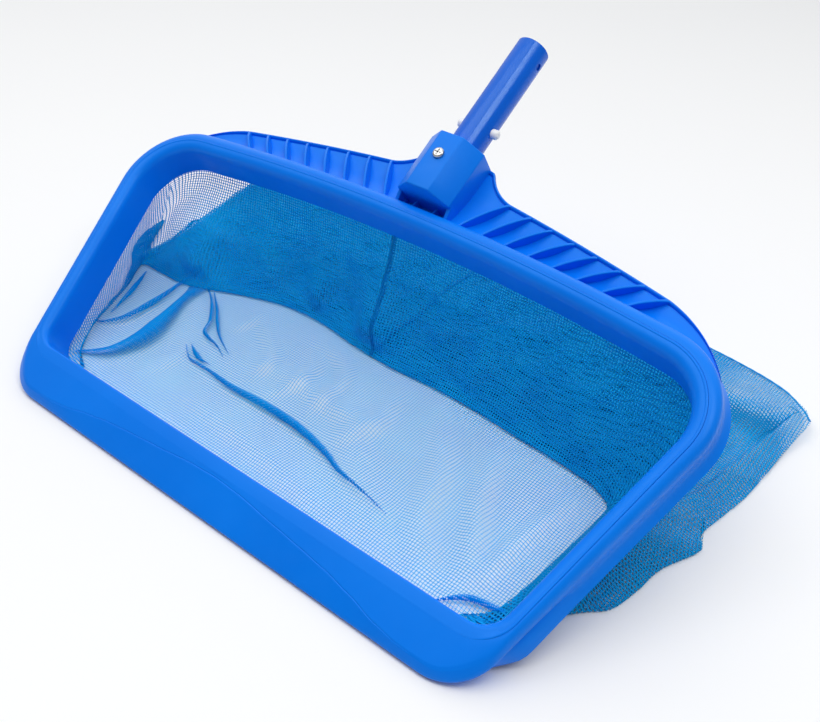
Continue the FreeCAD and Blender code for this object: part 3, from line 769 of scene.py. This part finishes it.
def net_grid(side, keys):
    """Points, map coordinates and closeness, one list for each place along the rim."""
    places = []
    for a, b, count in STRETCHES:
        places += [lerp(a, b, k / count) for k in range(count)]
    places.append(5.0)
    grid, maps, cover = [], [], []
    for place in places:
        column = net_column(place, side, keys, ROWS)
        points, lines, run = [], [], 0.0
        for t, p in zip(ROWS, column):
            lying = smooth(0.44, 0.55, t)
            edge_fade = 1 - smooth(0.93, 1.0, t)
            bump = wobble(p[0], p[1], 2, 0.030, 11.0) * 5.0 + wobble(p[0], p[1], 4, 0.075, 2.0) * 2.2
            z = p[2] + lying * edge_fade * max(bump, -1.0)
            hang = smooth(0.03, 0.12, t) * (1 - smooth(0.36, 0.41, t))
            ripple = wobble(p[0], p[1], p[2], 0.055, 9.0) * 3.0 * hang
            q = np.array([p[0], p[1] + ripple, max(z, 1.5 if t < 0.98 else EDGE_Z)])
            if points:
                run += float(np.linalg.norm(q - points[-1]))
            points.append(q)
            across = q[0] if place >= UPPER_FROM else q[1] + (UPPER_FROM - place) * 4.0
            lines.append((across / PITCH_MM, run / PITCH_MM))
        grid.append(points)
        maps.append(lines)
        cover.append([closeness_and_painted_shade(place, side, t) for t in ROWS])
    return grid, maps, cover


def sheet_piece(name, grid, maps, material, thick=NET_THICK, cover=None):
    """A closed thin skin on both sides of a grid of points in mm, with its weave's map."""
    pts = np.array(grid) * MM
    n, m = pts.shape[:2]
    du = np.gradient(pts, axis=0)
    dv = np.gradient(pts, axis=1)
    normal = np.cross(du, dv)
    normal /= np.maximum(np.linalg.norm(normal, axis=2, keepdims=True), 1e-12)
    upper = (pts + normal * thick / 2).reshape(-1, 3)
    lower = (pts - normal * thick / 2).reshape(-1, 3)
    faces = grid_faces(n, m)
    total = n * m
    faces += [tuple(total + v for v in reversed(f)) for f in faces]
    border = [i * m for i in range(n)] + [(n - 1) * m + j for j in range(1, m)]
    border += [i * m + m - 1 for i in range(n - 2, -1, -1)] + [j for j in range(m - 2, 0, -1)]
    for a, b in zip(border, border[1:] + border[:1]):
        faces.append((a, b, total + b, total + a))
    mesh = bpy.data.meshes.new(name)
    mesh.from_pydata(np.concatenate([upper, lower]).tolist(), [], faces)
    shares = np.ones(total) if cover is None else np.array(cover, float).reshape(-1)
    closer = mesh.attributes.new("cover", "FLOAT", "POINT")
    closer.data.foreach_set("value", np.tile(shares, 2).astype(np.float32))
    layer = mesh.uv_layers.new(name="weave")
    flat = np.array(maps).reshape(-1, 2)
    corners = np.zeros(len(mesh.loops), np.int32)
    mesh.loops.foreach_get("vertex_index", corners)
    layer.data.foreach_set("uv", flat[corners % total].astype(np.float32).ravel())
    bm = bmesh.new()
    bm.from_mesh(mesh)
    bmesh.ops.recalc_face_normals(bm, faces=bm.faces)
    for face in bm.faces:
        face.smooth = True
    bm.to_mesh(mesh)
    bm.free()
    return add_piece(name, mesh, material)


# ---- bottom net
# pleats on the bottom net, mm: line, half widths of the crisp side at start, middle and end, height
PLEATS = (
    (((-207, -8), (-186, -22), (-163, -44), (-155, -58), (-132, -64), (-118, -70)), (0.4, 1.5, 0.2), 2.2),
    (((-196, -10), (-172, -28), (-150, -47), (-136, -56), (-118, -64)), (0.4, 1.1, 0.2), 1.8),
    (((-153, -80), (-137, -90), (-112, -91), (-84, -94), (-40, -93), (-5, -95), (30, -102), (52, -110),
      (104, -119)), (0.4, 2.6, 0.2), 3.0),
    (((-151, -76), (-138, -83), (-128, -86), (-118, -84)), (0.3, 1.6, 0.2), 2.0),
    (((-246, -106), (-240, -104.5), (-235, -102), (-226, -90), (-223, -74), (-224, -43), (-233, -6)),
     (0.5, 2.0, 0.6), 3.2),
    (((-244, -90), (-248, -74), (-254, -57), (-263, -40), (-273, -26)), (0.2, 1.7, 0.4), 2.6),
    (((173, -157), (182, -149), (194, -141), (204, -138), (214, -136), (224, -131)), (0.2, 1.7, 1.6), 2.4),
)
# the broad lap at the left: its crisp edge and its soft edge
LAP_HIGH = 4.5
LAP_CRISP = ((-223, -143), (-211, -135), (-202, -125), (-199, -113), (-200, -100), (-203, -84),
             (-206, -60), (-214, -32), (-221, -17))
LAP_SOFT = ((-222, -146), (-206, -140), (-191, -131), (-182, -118), (-176, -103), (-177, -86),
            (-186, -64), (-200, -34), (-200, -10))
# soft waves of the bottom net, mm: line, height, half width
WAVES = (
    (((177, -152), (173, -114), (146, -65), (122, -5)), 6.5, 15.0),
    (((165, -150), (125, -107), (106, -60), (58, 2)), 5.5, 17.0),
    (((186, -150), (190, -80), (200, -12)), 5.0, 13.0),
    (((140, -150), (60, -100), (-30, -8)), 4.0, 20.0),
    (((-84, -88), (-84, -48), (-118, -21), (-150, 6)), 5.5, 13.0),
    (((-120, -60), (-60, -52), (10, -58), (70, -48)), 5.0, 16.0),
    (((-16, -86), (-16, -42), (-26, -18), (-54, -6), (-94, -2)), 5.0, 12.0),
    (((-60, -88), (-44, -50), (-62, -8)), 4.5, 12.0),
    (((20, -96), (36, -50), (20, -2)), 4.5, 15.0),
    (((-143, -44), (-136, -20), (-140, 0)), 4.0, 9.0),
    (((-150, -120), (-60, -124), (40, -138), (120, -142)), 3.0, 16.0),
    (((-160, -140), (-150, -90), (-175, -60)), 3.5, 13.0),
)


def along_line(line, x, y):
    """Nearest place on a line: signed distance and share along it."""
    best = None
    lengths = [math.dist(a, b) for a, b in zip(line, line[1:])]
    total, run = sum(lengths), 0.0
    for (ax, ay), (bx, by), length in zip(line, line[1:], lengths):
        tx, ty = (bx - ax) / length, (by - ay) / length
        t = min(length, max(0.0, (x - ax) * tx + (y - ay) * ty))
        dx, dy = x - ax - tx * t, y - ay - ty * t
        far = math.hypot(dx, dy)
        if best is None or far < best[0]:
            sign = 1.0 if dx * -ty + dy * tx >= 0 else -1.0
            best = (far, sign * far, (run + t) / total)
        run += length
    return best[1:]


def curve_points(line, step=6.0):
    """A smooth line through the given points."""
    pts = np.array(line, float)
    xs = run_along(pts)
    count = max(2, int(xs[-1] / step))
    return [tuple(hermite(xs, pts, x)) for x in np.linspace(0, xs[-1], count)]


def lift_bottom(x, y):
    """Height of the waves in the bottom net."""
    z = 0.0
    for (pts, lo, hi), high, half in SWELLS:
        if lo[0] - half < x < hi[0] + half and lo[1] - half < y < hi[1] + half:
            d, share = along_line(pts, x, y)
            if abs(d) < half:
                along = math.sin(math.pi * min(1, max(0, share)))
                z += high * along * math.cos(math.pi * d / 2 / half) ** 2
    return z


def with_box(line):
    """A smooth line with the lowest and highest x and y along it."""
    pts = curve_points(line)
    xs, ys = zip(*pts)
    return pts, (min(xs), min(ys)), (max(xs), max(ys))


SWELLS = [(with_box(line), high, half) for line, high, half in WAVES]
SWELLS += [(with_box(line), high * 1.1, 9.0) for line, widths, high in PLEATS]
LAP_MIDDLE = [((a[0] + b[0]) / 2, (a[1] + b[1]) / 2) for a, b in zip(LAP_CRISP, LAP_SOFT)]
SWELLS.append((with_box(LAP_MIDDLE), LAP_HIGH, 22.0))


TIP_X, TIP_Y, TIP_HIGH, TIP_REACH = 301, 152, 9.5, 30.0     # the bag's raised right tip
FLAP = (2.95, 3.05, 3.20)     # places of the folded corner, which the bottom net leaves out
BACK_FROM = 3.6               # place where the bag's sides end and its back begins


def edge_line(keys, low, high, count, skip=()):
    """The bag's outer edge between two places along the rim."""
    keys = [k for k in keys if k[0] not in skip]
    xs, ys = np.array([k[0] for k in keys]), edge_keys(keys)
    return np.array([hermite(xs, ys, p) for p in np.linspace(low, high, count)])


def bottom_grid():
    """Bottom net, filled in between the blade and the bag's outer edge."""
    cols, front_rows, back_rows = 236, 84, 46
    ts = list(np.linspace(0, 0.46, front_rows)) + list(np.linspace(0.46, 1, back_rows + 1))[1:]
    fine = 400
    left = edge_line(LEFT, 0.9, BACK_FROM, fine, FLAP)
    right = edge_line(RIGHT, 0.9, BACK_FROM, fine)
    rear_r, rear_l = edge_line(RIGHT, BACK_FROM, 5.0, fine), edge_line(LEFT, BACK_FROM, 5.0, fine, FLAP)
    rear = np.concatenate([rear_l, rear_r[::-1][1:]])

    def even(line):
        run = run_along(line[:, :2])
        return lambda t: np.array([np.interp(t * run[-1], run, line[:, k]) for k in range(3)])

    at_left, at_right, at_rear = even(left), even(right), even(rear)
    a, b, c, d = at_left(0), at_right(0), at_left(1), at_right(1)
    grid, maps = [], []
    for j in range(cols):
        s = j / (cols - 1)
        front = lerp(a, b, s)
        column, lines = [], []
        for t in ts:
            p = lerp(front, at_rear(s), t) + lerp(at_left(t), at_right(t), s)
            p = p - lerp(lerp(a, b, s), lerp(c, d, s), t)
            x, y = p[0], p[1]
            z = lift_bottom(x, y)
            border = min(s, 1 - s) * (cols - 1)
            fade = smooth(0, 5, border) * smooth(0.0, 0.02, t) * (1 - smooth(0.95, 1.0, t))
            lift = TIP_HIGH * math.exp(-((x - TIP_X) ** 2 + (y - TIP_Y) ** 2) / TIP_REACH ** 2)
            ripple = wobble(x, y, 1, 0.028, 5.0) * 1.3 + wobble(x, y, 3, 0.07, 1.0) * 0.4
            height = 0.5 + fade * (z + max(ripple, -0.2)) * (1 - smooth(0.50, 0.60, t) * 0.9) + lift
            column.append(np.array([x, y, height]))
            lines.append((x / PITCH_MM, y / PITCH_MM))
        grid.append(column)
        maps.append(lines)
    return grid, maps


NET_PIECES = {}
hanging_right, hanging_left = net_grid(1, RIGHT), net_grid(-1, LEFT)
# column where side and upper nets meet
SPLIT = STRETCHES[0][2] + STRETCHES[1][2] + int(STRETCHES[2][2] * (UPPER_FROM - 3.0))
SEAM_BACK = 8                 # columns from the middle to the seam, on the left
for ours, theirs in zip(hanging_right, hanging_left):
    ours.extend(theirs[::-1][1:SEAM_BACK + 1])
    del theirs[-SEAM_BACK:]
centre_column = hanging_left[0][-1]
for word, (grid, maps, cover) in (("right", hanging_right), ("left", hanging_left)):
    for part, first, last in (("side", 0, SPLIT + 1), ("upper", SPLIT, len(grid))):
        NET_PIECES["%s_net_%s" % (part, word)] = sheet_piece(
            "net_%s_%s" % (part, word), grid[first:last], maps[first:last], NET, cover=cover[first:last])
grid, maps = bottom_grid()
NET_PIECES["bottom_net"] = sheet_piece("net_bottom", grid, maps, NET_LYING_LIT)


# ---- pleats
WEAVE_TURN = (0.94, 0.34)     # direction of the weave in a pleat
FOLDED_WEAVE = 1.7            # times as many threads as in a single layer
SKIN = 0.0004                 # thickness of pleats and the centre seam, m
PLEAT_ROWS, LAP_ACROSS, PLEAT_ACROSS = 90, 25, 13
LAP_FADE, PLEAT_FADE = 0.45, 0.15
PLEAT_SPREAD = 2.6            # a pleat's soft side, against its half width


def pleat_rows(left, right, high, count, across, fade):
    """Grid of a pleat: a crisp fold along its left edge, thinning out to the right from the share fade."""
    grid, maps, cover = [], [], []
    c, s = WEAVE_TURN
    for k in range(count):
        row, marks, shares = [], [], []
        end = max(0.0, math.sin(math.pi * k / (count - 1))) ** 0.5
        for j in range(across):
            t = j / (across - 1)
            x, y = lerp(left[k][0], right[k][0], t), lerp(left[k][1], right[k][1], t)
            z = 1.0 + lift_bottom(x, y) + high * end * smooth(0, 0.3, t) * (1 - 0.8 * smooth(0.4, 1, t))
            row.append(np.array([x, y, z]))
            marks.append(tuple(m * FOLDED_WEAVE / PITCH_MM for m in (x * c + y * s, y * c - x * s)))
            shares.append(max(0.02, lerp(0.3, 1.0, end) * (1 - smooth(fade, 1.0, t))))
        grid.append(row)
        maps.append(marks)
        cover.append(shares)
    return grid, maps, cover


def evenly(line, count):
    """Points spaced evenly along the smooth line through the given points."""
    return spaced(curve_points(line, 2.0), count)


def pleat_pieces():
    """The broad lap and the narrow pleats, joined into one piece."""
    count = PLEAT_ROWS
    grid, maps, cover = pleat_rows(evenly(LAP_CRISP, count), evenly(LAP_SOFT, count), LAP_HIGH,
                                   count, LAP_ACROSS, LAP_FADE)
    made = [sheet_piece("net_lap", grid, maps, NET_FOLDED_SHADED, SKIN, cover)]
    for index, (line, widths, high) in enumerate(PLEATS):
        middle = evenly(line, count)
        left, right = [], []
        for k, (x, y) in enumerate(middle):
            a, b = middle[max(k - 1, 0)], middle[min(k + 1, count - 1)]
            length = math.dist(a, b)
            nx, ny = -(b[1] - a[1]) / length, (b[0] - a[0]) / length
            t = 2 * k / (count - 1)
            if t < 1:
                half = lerp(widths[0], widths[1], smooth(0, 1, t))
            else:
                half = lerp(widths[1], widths[2], smooth(1, 2, t))
            left.append((x - nx * half, y - ny * half))
            right.append((x + nx * half * PLEAT_SPREAD, y + ny * half * PLEAT_SPREAD))
        grid, maps, cover = pleat_rows(left, right, high, count, PLEAT_ACROSS, PLEAT_FADE)
        made.append(sheet_piece("net_pleat_%d" % (index + 1), grid, maps, NET_FOLDED_SHADED, SKIN, cover))
    whole = made[0]
    bm = bmesh.new()
    for piece in made:
        bm.from_mesh(piece.data)
    bm.to_mesh(whole.data)
    bm.free()
    for piece in made[1:]:
        bpy.data.objects.remove(piece)
    whole.name = "net_pleats"
    return whole


# ---- seams
SEAM_ROWS, SEAM_WEAVE = 190, 1.4
# across the centre seam, mm: distance from its middle, height over the net
SEAM_PROFILE = ((-1.9, 0.3), (-1.3, 0.8), (-0.6, 1.1), (0.0, 0.8), (0.6, 1.1), (1.3, 0.8), (1.9, 0.3))


def seam_strip():
    """Folded binding down the middle of the hanging net and back to the rear seam."""
    line = np.array(centre_column)
    run = run_along(line)
    grid, maps = [], []
    for at in np.linspace(run[2], run[-1] - 2.0, SEAM_ROWS):
        p = np.array([np.interp(at, run, line[:, k]) for k in range(3)])
        k = min(int(np.searchsorted(run, at)), len(line) - 2)
        tangent = line[k + 1] - line[k - 1]
        tangent /= max(np.linalg.norm(tangent), 1e-9)
        out = np.array([0.0, -tangent[2], tangent[1]])
        out = out if out[1] < 0 or out[2] > 0.5 else -out
        pucker = 0.25 * math.sin(at * 0.33) + 0.6 * wobble(at, 0, 0, 0.05, 4.0)
        row, marks = [], []
        for j, (x, h) in enumerate(SEAM_PROFILE):
            ruffle = 0.35 * math.sin(at * 1.9 + j)
            q = p + out * (h + ruffle * 0.5) + np.array([x + pucker, 0, 0])
            q[2] = max(q[2], 2.0)
            row.append(q)
            marks.append((q[0] / PITCH_MM * FOLDED_WEAVE, at / PITCH_MM * SEAM_WEAVE))
        grid.append(row)
        maps.append(marks)
    return sheet_piece("seam_centre", grid, maps, BINDING, SKIN)


def rear_binding():
    """Rolled seam along the back edge of the bag."""
    right = edge_line(RIGHT, 3.76, 5.0, 150)
    left = edge_line(LEFT, 3.6, 5.0, 150)
    line = np.concatenate([left, right[::-1][1:]])
    rings = []
    for i, p in enumerate(line):
        tangent = line[min(i + 1, len(line) - 1)] - line[max(i - 1, 0)]
        tangent /= np.linalg.norm(tangent)
        out = np.array([-tangent[1], tangent[0], 0.0])
        swell = 1.0 + 0.12 * math.sin(i * 1.3)
        ring = []
        for k in range(10):
            a = k / 10 * 2 * math.pi
            wide, high = 0.85 * swell * math.cos(a) - 0.5, 0.6 * swell * math.sin(a) + 0.2
            q = p + out * wide + np.array([0, 0, high])
            q[2] = max(q[2], 0.05)
            ring.append(Vector(q * MM))
        rings.append(ring)
    return Shell().sweep(rings).build("seam_rear", TAPE, sharp=60.0)


centre_seam = seam_strip()
pleats = pleat_pieces()
rear_seam = rear_binding()

# ---- rides, replacements, looks of the kept CAD parts
PAIRS = {"outer_frame": outer_frame, "inner_ring": inner_ring, "handle_socket": socket,
         "centre_seam": centre_seam, "rear_seam": rear_seam, **NET_PIECES}
for node, piece in [("bottom_net", pleats), *PAIRS.items()]:
    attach(piece, "root")
    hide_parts(node)
NODE_LOOKS = {"handle_stub": STUB_BLUE, "button_right": BUTTON_WHITE, "button_left": BUTTON_WHITE,
              "socket_screw": SCREW, "hem_bead": BEAD_BLUE}
for node, material in NODE_LOOKS.items():
    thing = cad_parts[node]
    if not thing.material_slots:
        thing.data.materials.append(material)
    for place in thing.material_slots:
        place.material = material


# ---- floor and light
FLOOR_REACH, FLOOR_BELOW = 12.0, 0.0006     # m, to each side and under the net's lowest skin


def floor_piece():
    mesh = bpy.data.meshes.new("studio_floor")
    corners = [(FLOOR_REACH * x, FLOOR_REACH * y, 0) for x, y in ((-1, -1), (1, -1), (1, 1), (-1, 1))]
    mesh.from_pydata(corners, [], [(0, 1, 2, 3)])
    look = Look("studio_paper", Roughness=0.9, Specular_IOR_Level=0.1)
    where = look.node("ShaderNodeTexCoord").outputs["Object"]
    look.feed("Base Color", look.mix(look.noise(where, 2.0), (0.935, 0.935, 0.94), (0.95, 0.95, 0.95)))
    piece = add_piece("studio_floor", mesh, look.mat)
    piece.location.z = -FLOOR_BELOW


def area_light(name, at, target, size, power):
    data = bpy.data.lights.new(name, "AREA")
    data.shape = "RECTANGLE"
    data.size, data.size_y = size
    data.energy = power
    lamp = bpy.data.objects.new(name, data)
    lamp.location = at
    lamp.rotation_euler = (Vector(target) - Vector(at)).to_track_quat("-Z", "Y").to_euler()
    scene.collection.objects.link(lamp)


SKY_FROM = (-0.35, 0.62, 0.70)     # the bright side of the studio: behind, to the left and above
SKY_NARROW, SKY_LOBE, SKY_BASE = 3.0, 1.22, 0.24
floor_piece()
world = bpy.data.worlds.new("studio")
world.use_nodes = True
heaven = Nodes(world.node_tree)
sky = next(n for n in heaven.tree.nodes if n.type == "BACKGROUND")
sky.inputs[0].default_value = (0.97, 0.985, 1.0, 1.0)
where = heaven.node("ShaderNodeTexCoord").outputs["Generated"]
glow = heaven.vector("DOT_PRODUCT", {0: where, 1: Vector(SKY_FROM).normalized()})["Value"]
for operation, value in (("MAXIMUM", 0.0), ("POWER", SKY_NARROW), ("MULTIPLY", SKY_LOBE), ("ADD", SKY_BASE)):
    glow = heaven.math(operation, glow, value)
heaven.put(sky.inputs[1], glow)
scene.world = world
area_light("top_box", (-0.70, -0.5, 2.2), (-0.66, -0.5, 0.0), (1.4, 2.1), 19.5)
area_light("side_box", (0.95, 0.10, 1.85), (0.0, 0.05, 0.1), (0.5, 1.1), 11.0)
